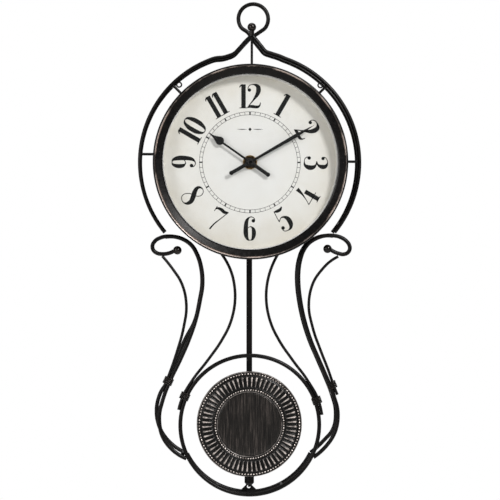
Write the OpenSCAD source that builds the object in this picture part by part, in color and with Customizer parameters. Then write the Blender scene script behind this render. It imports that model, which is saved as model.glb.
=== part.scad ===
// Pendulum wall clock: a round dial case held in a scrollwork frame of bent rod,
// with a quartz pendulum movement behind the dial and a fluted bob swinging below it.
// The origin is the hanging point, inside the top of the hanging loop.
// +Z is up, +X is to the right of someone reading the dial, and the wall is on the +Y side.
// All sizes are in millimetres.

/* [Wire frame] */
// Thickness of the main frame rods
rod_d = 4.2; // [3.8:0.1:4.4]
// Thickness of the light wires
wire_d = 3; // [2.6:0.1:3.2]
// Radius of the hoop round the case, to the middle of the rod
hoop_r = 115; // [114.5:0.1:115.5]
// Radius of the lower ring, to the middle of the rod
ring_r = 72.8; // [72.5:0.1:73.1]
// Radius of the hanging loop, to the middle of the rod
loop_r = 15.8; // [15.4:0.1:16]
// How far the hanging loop stands to the right of the dial's centre line
loop_offset = 4.8; // [4:0.1:5.2]
// Distance between the front and back rods
layer_gap = 26; // [25:0.5:27]
// Thickness of the short rods between the two layers
spacer_d = 3.8; // [3.4:0.1:4]
// Thickness of the wire wound round each rod pair
wrap_d = 1.4; // [1.2:0.1:1.5]
// Turns in each wire wrap
wrap_turns = 5; // [3:1:6]
// Diameter of the balls on the scroll ends
ball_d = 9; // [8:0.5:10]

/* [Dial case] */
// Drop from the hanging point to the middle of the dial
dial_drop = 167; // [166.5:0.1:167.5]
// Outside radius of the bezel
bezel_r = 101.6; // [101.4:0.1:102]
// Radius of the opening in the bezel
opening_r = 91.3; // [90.5:0.1:92]
// Outside radius of the case drum
drum_r = 100.6; // [100.4:0.1:100.8]
// Thickness of the drum's sheet
sheet = 1.5; // [1:0.1:1.6]
// Thickness of the glass
glass_t = 2; // [1.5:0.1:2]
// Length of the minute hand from the arbor to its tip
minute_reach = 78; // [60:1:84]
// Length of the hour hand from the arbor to its tip
hour_reach = 53; // [40:1:56]
// Length of the tail of each hand
hand_tail = 25; // [16:1:26]

/* [Movement] */
// Width of the movement
move_w = 58; // [58:1:60]
// Size of the gear teeth, as pitch diameter over tooth count
tooth_m = 0.3; // [0.3:0.01:0.3]
// Gap between an arbor and its bearing
bearing_gap = 0.05; // [0.03:0.01:0.08]
// Radius of the thin wheel arbors
arbor_r = 0.5; // [0.4:0.05:0.55]
// Radius of the minute arbor
minute_arbor_r = 1.5; // [1.4:0.05:1.5]

/* [Pendulum] */
// Drop from the hanging point to the middle of the bob and ring
bob_drop = 442; // [441.5:0.1:442.5]
// Radius of the bob
bob_r = 55.5; // [54:0.5:57]
// Width of the pendulum rod
strip_w = 6; // [5:0.5:7]
// Diameter of the rating nut
nut_d = 10; // [9:0.5:11]

/* [Hidden] */
$fn = 64;

// Planes of the frame
front_y = -layer_gap;
back_y = 0;
rod_r = rod_d / 2;
wire_r = wire_d / 2;
short = 0.25;
swell = 0.08;
pair_gap = rod_r + wire_r;
dial_z = -dial_drop;
bob_z = -bob_drop;

// Angles round the hoop and the ring
hoop_end = 39.6;
arm_angle = 20;
pin_angle = 45;
arc_start = 206;
arc_end = 334;

// Bends of the rods, as positions across and up, from the first end to the last
loop_z = rod_r - loop_r;
cross_x = 2;
cross_z = -35.4;
arm_left = [[-24.3, -56.2], [-16.2, -52.9], [-10.8, -47.5], [-5.5, -41.5]];
arm_right = [[6.6, -38.8], [12, -45.5], [16.6, -50.6], [22.7, -52.9], [30, -55.2]];
scroll_left = [
    [-80.1, -260.1], [-91.2, -262.9], [-97.2, -261.9], [-101, -258.7], [-101.9, -254.3],
    [-99.2, -249.3], [-93, -245.7],
    [-81.5, -244.5], [-70, -247.3], [-61, -253.6], [-54.7, -264.1], [-50.3, -279.9], [-49.6, -295.6],
    [-52.1, -311.4], [-56.8, -332.4], [-64.1, -353.4], [-73.3, -374.4], [-82.5, -393.3],
    [-89.4, -410.1], [-94.8, -435.3], [-91.5, -453.1], [-78.3, -469.9], [-67, -476.5]
];
scroll_right = [
    [85.5, -258.9], [92.9, -262.3], [98.6, -263.2], [102.9, -261.4], [105, -257.3], [104.2, -253.1],
    [100.7, -248.7], [94.9, -245.2], [86.5, -243.5], [78.1, -243.9], [69.7, -246.6], [61.8, -251.8],
    [56.6, -258.9], [52.9, -269.4], [51.1, -282], [51.2, -295.6], [53, -311.4], [57.3, -332.4],
    [63.9, -353.4], [72.8, -374.4], [81, -393.3], [87.6, -410.1], [92.3, -428.9], [90, -447.8],
    [76.5, -468.1], [67.1, -475.7]
];
strand_left = [
    [-88, -244.9], [-81.5, -244.5], [-70, -247.3], [-61, -253.6], [-54.7, -264.1], [-50.3, -279.9],
    [-49.6, -295.6], [-52.1, -311.4], [-56.8, -332.4], [-68.1, -354.7], [-77.3, -375.9],
    [-86.2, -397.5], [-94.5, -412.2], [-97.6, -426], [-94.5, -446.2], [-81.5, -464.2], [-66.5, -473.5]
];
strand_right = [
    [89, -243.8], [78.1, -243.9], [69.7, -246.6], [61.8, -251.8], [56.6, -258.9], [52.9, -269.4],
    [51.1, -282], [51.2, -295.6], [53, -311.4], [57.3, -332.4], [63.9, -353.4], [72.8, -374.4],
    [81, -393.3], [87.6, -410.1], [92.3, -428.9], [90, -447.8], [77.6, -463.2], [66, -473.5]
];
outer_left = [
    [-91.3, -265.4], [-79.8, -279.9], [-72.9, -290.4], [-68.8, -300.9], [-66.5, -316], [-70, -342.9],
    [-75.9, -363.9], [-83, -384.9], [-88.6, -399], [-91.4, -405.5]
];
outer_right = [
    [92.3, -265.8], [85.5, -269.8], [75.1, -279.9], [67.7, -290.4], [63.6, -301.5], [61.8, -316],
    [66.7, -342.9], [74.2, -363.9], [82.4, -384.9], [88.3, -401.7], [91.6, -410]
];
inner_left = [
    [-29.2, -263.5], [-20.2, -279.9], [-15.6, -302], [-21.4, -337.6], [-30, -354], [-44.4, -374.4],
    [-59.5, -393.8], [-70, -411.4], [-74.5, -425.2]
];
inner_right = [
    [29.2, -263.5], [21.6, -279.9], [17.2, -302], [22.8, -337.6], [31, -354], [45, -374.4],
    [59.5, -393.8], [71.8, -415.8], [75.6, -431]
];

// Planes through the case, from the front to the back
bezel_y = -46;
lip_y = -41.2;
glass_y = lip_y + glass_t;
dial_y = -28;
dial_t = 1;
drum_front_y = -39;
drum_back_y = -5;
cover_t = 1;
rim_in = 90.4;
rim_out = 95;
cover_r = 92;
cover_bolt_r = 88;

// Planes and sizes of the movement
move_y = -25.4;
split_y = -17;
move_back_y = -9;
move_wall = 1.5;
move_top = dial_z + 28;
bay_top = dial_z - 14;
bay_low = dial_z - 29.5;
move_low = dial_z - 78;
bush_r = 4;
pipe_r = 2.6;
pipe_bore = minute_arbor_r + 0.06;
slit = 0.1;

// Wheels: where each arbor stands, beside and above the hands' arbor
third_at = [-7.64, 7.64];
second_at = [0, 14.4];
fifth_at = [10.3, 16.4];
rotor_at = [20.45, 12.73];
motion_at = [6.2, -3.66];
knob_at = [13.4, -3.66];
wheel_t = 0.8;
hour_plane = -22.7;
motion_plane = -21.5;
centre_plane = -19.6;
third_plane = -17.8;
second_plane = -16.2;
fifth_plane = -14.6;
hour_m = tooth_m * 48 / 50;

// The pendulum hangs from a pin low on the movement
pivot_z = dial_z - 36;
peg_z = dial_z - 72;
magnet_z = dial_z - 62;
pivot_r = 1.5;
peg_r = 1.2;
strip_y = -13;
strip_t = 1.6;
bob_y = -19.8;
bob_t = 12;
thread_r = 1.5;
nut_h = 8.2;
nut_top = bob_z - bob_r - 0.2;

// ---- Bending a rod through a list of points ----

function direction(a, b) = atan2(b[1] - a[1], b[0] - a[0]);

function short_way(angle) = angle - 360 * round(angle / 360);

// Heading at an inner point, that of the circle through it and its two neighbours
function middle_heading(p, i) =
    direction(p[i - 1], p[i])
    + short_way(direction(p[i], p[i + 1]) - direction(p[i - 1], p[i + 1]));

// Heading at an end point, so that its first span is one arc
function end_heading(along, next) = along + short_way(along - next);

// Heading at any point; ends gives those of the first and last points where they are fixed
function heading_at(p, i, ends) =
    let (last = len(p) - 1)
    i == 0 && is_num(ends[0]) ? ends[0]
    : i == last && is_num(ends[1]) ? ends[1]
    : i == 0 ? end_heading(direction(p[0], p[1]), middle_heading(p, 1))
    : i == last ? end_heading(direction(p[last - 1], p[last]), middle_heading(p, last - 1))
    : middle_heading(p, i);

function unit(angle) = [cos(angle), sin(angle)];

// The point where two arcs meet that leave a and reach b at the given headings
function meeting_point(a, leave, b, arrive) =
    let (
        chord = b - a,
        sum = unit(leave) + unit(arrive),
        spread = 2 * (1 - unit(leave) * unit(arrive)),
        reach = chord * sum,
        size = chord * chord,
        step = size / (reach + sqrt(reach * reach + spread * size))
    )
    (a + b + step * (unit(leave) - unit(arrive))) / 2;

// One round bend from a to b, leaving a at the given heading, cut short at both ends
module bend(a, leave, b, d) {
    turn = 2 * short_way(direction(a, b) - leave);
    chord = norm(b - a);
    if (abs(turn) < 0.4) {
        translate(a)
            rotate([0, 0, direction(a, b)])
                rotate([0, 90, 0])
                    translate([0, 0, short])
                        cylinder(d = d, h = chord - 2 * short);
    } else {
        side = sign(turn);
        r = chord / (2 * sin(abs(turn) / 2));
        first = leave - 90 * side;
        cut = short / r * 180 / PI;
        translate(a - r * unit(first))
            rotate([0, 0, (turn > 0 ? first : first + turn) + cut])
                rotate_extrude(angle = abs(turn) - 2 * cut)
                    translate([r, 0])
                        circle(d = d);
    }
}

// Collar that closes the joint between two bends, a hair thicker than the rod
module collar(at, along, d) {
    translate(at)
        rotate([0, 0, along])
            rotate([0, 90, 0])
                translate([0, 0, -2 * short])
                    cylinder(d = d + swell, h = 4 * short);
}

// A round rod bent smoothly through the points, lying in one plane
module bent_rod(p, d, y, ends = ["free", "free"]) {
    translate([0, y, 0])
        rotate([90, 0, 0]) {
            for (i = [0 : len(p) - 2]) {
                leave = heading_at(p, i, ends);
                arrive = heading_at(p, i + 1, ends);
                mid = meeting_point(p[i], leave, p[i + 1], arrive);
                bend(p[i], leave, mid, d);
                bend(mid, 2 * direction(p[i], mid) - leave, p[i + 1], d);
                collar(mid, 2 * direction(p[i], mid) - leave, d);
                collar(p[i + 1], arrive, d);
            }
            collar(p[0], heading_at(p, 0, ends), d);
        }
}

// An arc of rod about the centre line, from one angle to another
module rod_arc(r, z, from, to, d, y) {
    cut = to - from < 360 ? short / r * 180 / PI : 0;
    translate([0, y, z])
        rotate([90, 0, 0])
            rotate([0, 0, from + cut])
                rotate_extrude(angle = to - from - 2 * cut)
                    translate([r, 0])
                        circle(d = d);
}

// A plain cylinder along Y from the plane y, towards the wall
module post(x, y, z, r, h) {
    translate([x, y, z])
        rotate([-90, 0, 0])
            cylinder(r = r, h = h);
}

// A straight round bar between two points in the plane y
module bar(a, b, d, y) {
    translate([0, y, 0])
        rotate([90, 0, 0])
            translate(a)
                rotate([0, 0, direction(a, b)])
                    rotate([0, 90, 0])
                        cylinder(d = d, h = norm(b - a));
}

function flip(p, side) = [for (q = p) [side * q[0], q[1]]];

function on_hoop(angle, r) = [r * cos(angle), dial_z + r * sin(angle)];

function on_ring(angle, r) = [r * cos(angle), bob_z + r * sin(angle)];

// ---- Frame ----

// The hoop's two sides, below its arms
module hoop_side(side, y) {
    if (side > 0) {
        rod_arc(hoop_r, dial_z, -hoop_end, 90 - arm_angle, rod_d, y);
    } else {
        rod_arc(hoop_r, dial_z, 90 + arm_angle, 180 + hoop_end, rod_d, y);
    }
}

module front_hoop(side) {
    from = [on_hoop(90 - side * arm_angle, hoop_r)];
    over = [cross_x + side * 1.5, cross_z];
    color("#1d1916") {
        bent_rod(side > 0 ? concat([over], arm_right, from) : concat(from, arm_left, [over]),
            rod_d, front_y, side > 0 ? ["free", -arm_angle] : [arm_angle, "free"]);
        hoop_side(side, front_y);
    }
}

// The back rod runs up one arm, crosses over, closes in the hanging loop and comes down the other
module back_hoop() {
    loop = [for (a = [-70, -30, 30, 90, 150, 210, 250])
        [loop_offset + loop_r * cos(a), loop_z + loop_r * sin(a)]];
    color("#1d1916") {
        bent_rod(
            concat([on_hoop(90 + arm_angle, hoop_r)], arm_left, [[cross_x, cross_z + 1.4]], loop,
                arm_right, [on_hoop(90 - arm_angle, hoop_r)]),
            rod_d, back_y, [arm_angle, -arm_angle]);
        hoop_side(-1, back_y);
        hoop_side(1, back_y);
    }
}

module lower_ring() {
    color("#1d1916") rod_arc(ring_r, bob_z, 0, 360, rod_d, front_y);
}

module back_ring_arc() {
    color("#1d1916") rod_arc(ring_r, bob_z, arc_start, arc_end, rod_d, back_y);
}

module frame_rod(p, d, y) {
    color("#1d1916") bent_rod(p, d, y);
}

// Small plate with a hole, standing on the middle of the back arc
module ring_tab() {
    tab_t = 2;
    hole_z = bob_z - ring_r + 5.4;
    color("#1d1916")
        difference() {
            union() {
                post(0, back_y - tab_t / 2, hole_z, 3.6, tab_t);
                translate([0, back_y + tab_t / 2, 0])
                    rotate([90, 0, 0])
                        linear_extrude(tab_t)
                            polygon([
                                [-8.5, bob_z - ring_r + 1.8], [8.5, bob_z - ring_r + 1.8],
                                [3.3, hole_z + 1.4], [-3.3, hole_z + 1.4]
                            ]);
            }
            post(0, back_y - tab_t, hole_z, 2, 2 * tab_t);
        }
}

// Short rods welded between the front and back layers
module spacer_rods() {
    hoop_spots = [for (a = [pin_angle, 180 - pin_angle, 214, 326]) on_hoop(a, hoop_r)];
    ring_spots = [for (a = [203.4, -16.1]) on_ring(a, ring_r + 3.6)];
    arc_spots = [for (a = [242, 298]) on_ring(a, ring_r)];
    strand_spots = [[-88.4, -404], [87.6, -410.1], [cross_x, cross_z]];
    color("#1d1916")
        for (s = concat(hoop_spots, ring_spots, arc_spots, strand_spots)) {
            post(s[0], front_y + rod_r - slit, s[1], spacer_d / 2, layer_gap - rod_d + 2 * slit);
        }
}

// Turns of wire wound tightly round a rod and a light wire lying side by side
module wire_wrap(at, lean) {
    loop = rod_r + wrap_d / 2 - slit;
    pitch = wrap_d + 0.15;
    color("#4a4039")
        translate([at[0], front_y, at[1]])
            rotate([0, -lean, 0])
                for (k = [0 : wrap_turns - 1]) {
                    translate([0, 0, (k - (wrap_turns - 1) / 2) * pitch])
                        for (side = [-1, 1]) {
                            translate([side * pair_gap / 2, 0, 0])
                                rotate([0, 0, side > 0 ? -90 : 90])
                                    rotate_extrude(angle = 180)
                                        translate([loop, 0])
                                            circle(d = wrap_d, $fn = 24);
                            translate([-pair_gap / 2, side * loop, 0])
                                rotate([0, 90, 0])
                                    cylinder(d = wrap_d, h = pair_gap, $fn = 24);
                        }
                }
}

module wire_wraps() {
    wire_wrap([-85.4, -395.6], -25);
    wire_wrap([86, -400.4], 22);
    wire_wrap(on_ring(156, ring_r + pair_gap / 2), -24);
    wire_wrap(on_ring(20, ring_r + pair_gap / 2), 20);
}

module scroll_balls() {
    color("#5a4f48")
        for (at = [[-75.9, -259], [81.5, -257.5]]) {
            translate([at[0], front_y, at[1]]) sphere(d = ball_d);
        }
}

// Ball on a small turned foot, seated over the crossing
module finial_ball() {
    color("#5a4f48")
        translate([cross_x, front_y, 0]) {
            translate([0, 0, -25.4])
                sphere(d = ball_d + 0.2);
            translate([0, 0, cross_z + 0.6])
                cylinder(r = 2.6, h = 6);
        }
}

module top_pin() {
    color("#1d1916")
        translate([cross_x, front_y, dial_z + drum_r - slit])
            cylinder(d = 2.6, h = cross_z - 0.8 - dial_z - drum_r + slit);
}

// A pin between the drum and the hoop
module case_pin(side, angle, drop) {
    from = (drum_r - slit) * unit(angle);
    to = (hoop_r - rod_r + slit) * unit(angle);
    color("#1d1916")
        translate([0, 0, dial_z + drop])
            bar([side * from[0], from[1]], [side * to[0], to[1]], 2.8, front_y);
}

module side_pins() {
    case_pin(-1, 0, 8.4);
    case_pin(1, 0, 1);
}

module upper_pins() {
    case_pin(-1, pin_angle, 0);
    case_pin(1, pin_angle, 0);
}

// Small curled eyes welded inside the hoop beside the upper pins
module curled_eyes() {
    eye = on_hoop(pin_angle + 2.6, hoop_r - rod_r - 3.1);
    color("#1d1916")
        for (side = [-1, 1]) {
            translate([side * eye[0], front_y, eye[1]])
                rotate([90, 0, 0])
                    rotate_extrude()
                        translate([2.5, 0])
                            circle(r = 0.8, $fn = 24);
        }
}

// ---- Dial case ----

module case_drum() {
    ledge_y = dial_y + dial_t;
    color("#211c19")
        difference() {
            union() {
                difference() {
                    post(0, drum_front_y, dial_z, drum_r, drum_back_y - drum_front_y);
                    post(0, drum_front_y - 1, dial_z, drum_r - sheet, drum_back_y - drum_front_y + 2);
                }
                difference() {
                    post(0, ledge_y, dial_z, drum_r - sheet + slit, 1.2);
                    post(0, ledge_y - 1, dial_z, 91, 4);
                }
                difference() {
                    post(0, drum_back_y - 1, dial_z, drum_r - sheet + slit, 1);
                    post(0, drum_back_y - 2, dial_z, 84, 4);
                }
            }
            for (a = [45 : 90 : 315]) {
                spot = on_hoop(a, cover_bolt_r);
                post(spot[0], drum_back_y - 2, spot[1], 1.05, 3);
            }
            translate([-11, -19, dial_z - drum_r - 2])
                cube([22, 11.5, 14]);
        }
}

// Bezel: an outer bead, a shallow groove, a wide sloping face and a thin inner lip
module bezel() {
    bead_r = 1.3;
    color("#211c19")
        translate([0, 0, dial_z])
            rotate([-90, 0, 0]) {
                rotate_extrude($fn = 180)
                    polygon([
                        [drum_r + 0.05, -36.5], [bezel_r - 0.4, -36.5], [bezel_r - 0.4, bezel_y + 1.8],
                        [bezel_r - 2.2, bezel_y + 2.1], [98.2, bezel_y + 1], [opening_r + 1.4, -43.4],
                        [opening_r, -42.6], [opening_r, lip_y], [rim_out + 0.5, lip_y],
                        [rim_out + 0.5, drum_front_y - 0.05], [drum_r + 0.05, drum_front_y - 0.05]
                    ]);
                rotate_extrude($fn = 180)
                    translate([bezel_r - bead_r, bezel_y + bead_r])
                        circle(r = bead_r, $fn = 32);
            }
}

module glass() {
    color("#dfe8ea", 0.3) post(0, lip_y, dial_z, rim_out, glass_t);
}

// White ring that keeps the glass off the dial
module dial_rim() {
    color("#e4e2dc")
        difference() {
            post(0, glass_y, dial_z, rim_out, dial_y - glass_y);
            post(0, glass_y - 1, dial_z, rim_in, dial_y - glass_y + 2);
        }
}

module dial() {
    color("#e9e6dc")
        difference() {
            post(0, dial_y, dial_z, 97, dial_t);
            post(0, dial_y - 1, dial_z, bush_r + bearing_gap, 4);
        }
}

module rear_cover() {
    win_w = move_w + 5;
    win_top = move_top + 3;
    win_low = move_low - 3;
    color("#2a2522")
        difference() {
            post(0, drum_back_y, dial_z, cover_r, cover_t);
            translate([-win_w / 2, drum_back_y - 1, win_low])
                cube([win_w, 4, win_top - win_low]);
            for (a = [45 : 90 : 315]) {
                spot = on_hoop(a, cover_bolt_r);
                post(spot[0], drum_back_y - 1, spot[1], 1.05, 4);
            }
        }
}

module cover_screws() {
    color("#8f8a84")
        for (a = [45 : 90 : 315]) {
            spot = on_hoop(a, cover_bolt_r);
            post(spot[0], drum_back_y - 3, spot[1], 1, 3 + cover_t);
            difference() {
                post(spot[0], drum_back_y + cover_t, spot[1], 2.4, 1.2);
                translate([spot[0] - 2, drum_back_y + cover_t + 0.6, spot[1] - 0.3])
                    cube([4, 1, 0.6]);
            }
        }
}

// ---- Movement ----

// A box in the movement, from corner (x, y, z) outward
module block(x0, x1, y0, y1, z0, z1) {
    translate([x0, y0, z0])
        cube([x1 - x0, y1 - y0, z1 - z0]);
}

module at_arbor(spot) {
    translate([spot[0], 0, dial_z + spot[1]])
        children();
}

thin_arbors = [third_at, second_at, fifth_at, rotor_at];

module movement_case() {
    half = move_w / 2;
    inner = half - move_wall;
    color("#2b2c2e")
        difference() {
            union() {
                difference() {
                    block(-half, half, move_y, split_y, move_low, move_top);
                    block(-inner, inner, move_y + move_wall, split_y + 1, bay_top + 1, move_top - move_wall);
                    block(-inner, inner, move_y + move_wall, split_y + 1, bay_low + 1, bay_top);
                    block(-inner, inner, move_y + move_wall, split_y + 1, move_low + move_wall, bay_low);
                }
                post(0, -31.4, dial_z, bush_r, move_y - -31.4 + 0.2);
                at_arbor(motion_at)
                    post(0, move_y + move_wall - slit, 0, arbor_r, 3.2);
            }
            post(0, -32, dial_z, pipe_r + bearing_gap, 9);
            for (spot = thin_arbors) {
                at_arbor(spot) post(0, move_y + 0.7, 0, arbor_r + bearing_gap, 3);
            }
        }
}

module movement_cover() {
    half = move_w / 2;
    inner = half - move_wall;
    back_wall = move_back_y - move_wall;
    color("#232425")
        difference() {
            union() {
                difference() {
                    block(-half, half, split_y, move_back_y, bay_low, move_top);
                    block(-inner, inner, split_y - 1, back_wall, bay_top + 1, move_top - move_wall);
                    block(-inner, inner, split_y - 1, move_back_y + 1, bay_low + 1, bay_top);
                }
                block(-half, half, split_y, split_y + 1, move_low, bay_low + 0.5);
                post(0, back_wall - 3, dial_z, 2.4, 3 + slit);
                post(0, split_y + 1 - slit, pivot_z, 3, 1.1);
                for (spot = [[-25.4, 5], [21, -6]]) {
                    at_arbor(spot) post(0, -12.8, 0, 1.2, 2.4);
                }
            }
            post(0, back_wall - 4, dial_z, 0.8 + bearing_gap, 4.5);
            for (spot = thin_arbors) {
                at_arbor(spot) post(0, back_wall - 1, 0, arbor_r + bearing_gap, 1.8);
            }
            at_arbor(knob_at) post(0, back_wall - 1, 0, 1 + bearing_gap, 4);
            post(0, split_y - 1, pivot_z, pivot_r, 4);
        }
}

module gasket() {
    color("#1a1a1a")
        difference() {
            post(0, dial_y + dial_t, dial_z, 9, move_y - dial_y - dial_t);
            post(0, dial_y, dial_z, bush_r + bearing_gap, 4);
        }
}

module nut_washer() {
    color("#b08d3c")
        difference() {
            post(0, dial_y - 0.8, dial_z, 7.4, 0.8);
            post(0, dial_y - 2, dial_z, bush_r + bearing_gap, 4);
        }
}

module hex_nut() {
    color("#b9923f")
        difference() {
            translate([0, dial_y - 3, dial_z])
                rotate([-90, 0, 0])
                    cylinder(r = 7, h = 2.2, $fn = 6);
            post(0, dial_y - 4, dial_z, bush_r + bearing_gap, 4);
        }
}

// Size AA cell, lying across the movement
battery_y = -16.6;
battery_z = dial_z - 21.25;
battery_r = 7;

module battery() {
    color("#3f6d4c")
        translate([-25.2, battery_y, battery_z])
            rotate([0, 90, 0]) {
                cylinder(r = battery_r, h = 49.2);
                cylinder(r = 2.7, h = 50.4);
            }
}

// Sheet contact on one end wall of the bay, with a cone pressed out towards the cell
module contact(side, cone_base, cone_tip) {
    inner = move_w / 2 - move_wall;
    plate = 0.4;
    color("#c2c4c6")
        translate([side * inner, battery_y, battery_z])
            rotate([0, -90 * side, 0]) {
                translate([-5, -5, 0])
                    cube([10, 10, plate]);
                translate([0, 0, plate - slit])
                    cylinder(r1 = cone_base, r2 = cone_tip, h = inner - 25.3 - plate + slit);
            }
}

module circuit_board() {
    color("#2f6b3a") {
        block(-24, -11.5, -11.5, -10.5, dial_z - 9, dial_z + 16);
        block(-20, -15, -12, -11.4, dial_z - 2, dial_z + 5);
    }
}

// The coil lies along the top of the movement on its iron core
module stepper_coil() {
    color("#b5622e")
        translate([-23, -13.1, dial_z + 23])
            rotate([0, 90, 0])
                difference() {
                    cylinder(r = 2.4, h = 20);
                    translate([0, 0, -1])
                        cylinder(r = 1, h = 22);
                }
}

module stator() {
    y0 = -13.4;
    y1 = -12.8;
    color("#9a9ca0") {
        difference() {
            union() {
                at_arbor(rotor_at) post(0, y0, 0, 5.6, y1 - y0);
                block(-2.5, 24.5, y0, y1, dial_z + 21.6, dial_z + 24.4);
                block(18.5, 24.5, y0, y1, dial_z + 16, dial_z + 24.4);
                block(18.5, 23.5, y0, y1, dial_z - 11.5, dial_z + 9);
                block(-26.2, 23.5, y0, y1, dial_z - 11.5, dial_z - 9.5);
                block(-26.2, -24.6, y0, y1, dial_z - 11.5, dial_z + 24.4);
                block(-26.2, -23.2, y0, y1, dial_z + 21.6, dial_z + 24.4);
            }
            at_arbor(rotor_at) post(0, y0 - 1, 0, 3.6, 3);
        }
        translate([-24, -13.1, dial_z + 23])
            rotate([0, 90, 0])
                cylinder(r = 0.9, h = 22);
    }
}

// ---- Wheels ----

// Toothed disc lying across Y: its back face on the plane y
module gear(spot, teeth, m, y, t, phase) {
    pitch_r = m * teeth / 2;
    root = pitch_r - 1.15 * m;
    tip = pitch_r + 0.72 * m;
    step = 360 / teeth;
    wide = 0.27 * step;
    thin = 0.08 * step;
    color("#c9a24a")
        translate([spot[0], y, dial_z + spot[1]])
            rotate([90, 0, 0])
                linear_extrude(t)
                    polygon([
                        for (k = [0 : teeth - 1])
                            each [
                                root * unit(phase + k * step - wide), tip * unit(phase + k * step - thin),
                                tip * unit(phase + k * step + thin), root * unit(phase + k * step + wide)
                            ]
                    ]);
}

// Angle at which a wheel's gap faces a tooth of its neighbour that points at it
function gap_phase(from, to, teeth) = direction(to, from) + 180 / teeth;

// A wheel and its pinion on one thin arbor
module wheel(spot, teeth, plane, phase, pinion, pinion_plane, pinion_phase) {
    gear(spot, teeth, tooth_m, plane, wheel_t, phase);
    gear(spot, pinion, tooth_m, pinion_plane + 0.1, wheel_t + 0.2, pinion_phase);
    color("#b8b4ac")
        at_arbor(spot)
            post(0, move_y + 0.8, 0, arbor_r, move_back_y - move_wall + 0.7 - move_y - 0.8);
}

module rotor() {
    gear(rotor_at, 12, tooth_m, fifth_plane + 0.1, wheel_t + 0.2, direction(rotor_at, fifth_at));
    color("#6f7276")
        at_arbor(rotor_at) {
            post(0, move_y + 0.8, 0, arbor_r, move_back_y - move_wall + 0.7 - move_y - 0.8);
            post(0, -13.9, 0, 3, 1.6);
        }
}

module fifth_wheel() {
    wheel(fifth_at, 60, fifth_plane, gap_phase(rotor_at, fifth_at, 60),
        10, second_plane, direction(fifth_at, second_at));
}

module second_wheel() {
    wheel(second_at, 60, second_plane, gap_phase(fifth_at, second_at, 60),
        8, third_plane, direction(second_at, third_at));
}

module third_wheel() {
    wheel(third_at, 60, third_plane, gap_phase(second_at, third_at, 60),
        8, centre_plane, direction(third_at, [0, 0]));
}

// The centre wheel grips the minute arbor by friction, so the hands can be set
module centre_wheel() {
    difference() {
        gear([0, 0], 64, tooth_m, centre_plane, wheel_t, gap_phase(third_at, [0, 0], 64));
        post(0, centre_plane - 3, dial_z, minute_arbor_r + bearing_gap, 6);
    }
}

// Motion wheel: driven by the cannon pinion, it drives the hour wheel at a twelfth of the speed
module motion_wheel() {
    difference() {
        union() {
            gear(motion_at, 36, tooth_m, motion_plane, wheel_t, gap_phase([0, 0], motion_at, 36));
            gear(motion_at, 10, hour_m, motion_plane - 0.7, wheel_t + 0.5, direction(motion_at, [0, 0]));
        }
        at_arbor(motion_at) post(0, -26, 0, arbor_r + bearing_gap, 8);
    }
}

// The knob's pinion turns to meet whichever tooth of the motion wheel is nearest
motion_phase = gap_phase([0, 0], motion_at, 36);
knob_side = direction(motion_at, knob_at);
knob_phase = 180 + knob_side - 3 * (round((knob_side - motion_phase) / 10) * 10 + motion_phase - knob_side)
    + 15;

module setting_knob() {
    knob_y = move_back_y + 0.4;
    gear(knob_at, 12, tooth_m, motion_plane + 0.1, wheel_t + 0.2, knob_phase);
    color("#d8d5cc")
        at_arbor(knob_at) {
            post(0, motion_plane - 0.5, 0, 1, knob_y - motion_plane + 0.6);
            difference() {
                post(0, knob_y, 0, 6, 3);
                for (a = [0 : 30 : 330]) {
                    rotate([0, a, 0]) post(6.3, knob_y - 1, 0, 0.8, 5);
                }
            }
        }
}

// ---- Hands ----

// A hand pointing up: its outlines are turned to the angle that it shows
module hand(angle, y, t) {
    translate([0, y + t, dial_z])
        rotate([0, angle, 0])
            rotate([90, 0, 0])
                for (i = [0 : $children - 1]) {
                    linear_extrude(t) children(i);
                }
}

minute_angle = 60;
hour_angle = 305;

minute_y = -35.2;
hour_y = -32.9;
hand_t = 0.6;

knob_drop = hand_tail - 1.9;

// The arbor carries the cannon pinion and turns in the movement's rear wall
module minute_arbor() {
    color("#b8b4ac") {
        post(0, minute_y - 0.6, dial_z, minute_arbor_r, centre_plane + 0.2 - minute_y + 0.6);
        post(0, -20, dial_z, 0.8, move_back_y - move_wall + 0.3 + 20);
    }
    gear([0, 0], 12, tooth_m, motion_plane + 0.1, wheel_t + 0.2, direction([0, 0], motion_at));
}

module minute_hand() {
    color("#141312")
        difference() {
            hand(minute_angle, minute_y, hand_t) {
                circle(r = 3.2);
                polygon([
                    [-1.4, -knob_drop], [-1.25, 0], [-1.6, minute_reach * 0.7],
                    [-0.8, minute_reach * 0.86], [0, minute_reach], [0.8, minute_reach * 0.86],
                    [1.6, minute_reach * 0.7], [1.25, 0], [1.4, -knob_drop]
                ]);
                translate([0, -knob_drop]) circle(r = 1.9);
            }
            post(0, minute_y - 1, dial_z, minute_arbor_r, 4);
        }
}

module hand_cap() {
    color("#141312")
        difference() {
            union() {
                post(0, minute_y - 1.4, dial_z, 2.6, 1.4);
                post(0, minute_y - 2, dial_z, 1.8, 0.7);
            }
            post(0, minute_y - 0.6, dial_z, minute_arbor_r, 4);
        }
}

module hour_wheel() {
    front = hour_y - 0.5;
    difference() {
        union() {
            gear([0, 0], 40, hour_m, hour_plane, wheel_t, gap_phase(motion_at, [0, 0], 40));
            color("#c9a24a")
                post(0, front, dial_z, pipe_r, hour_plane - wheel_t / 2 - front);
        }
        post(0, front - 1, dial_z, pipe_bore, 14);
    }
}

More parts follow.
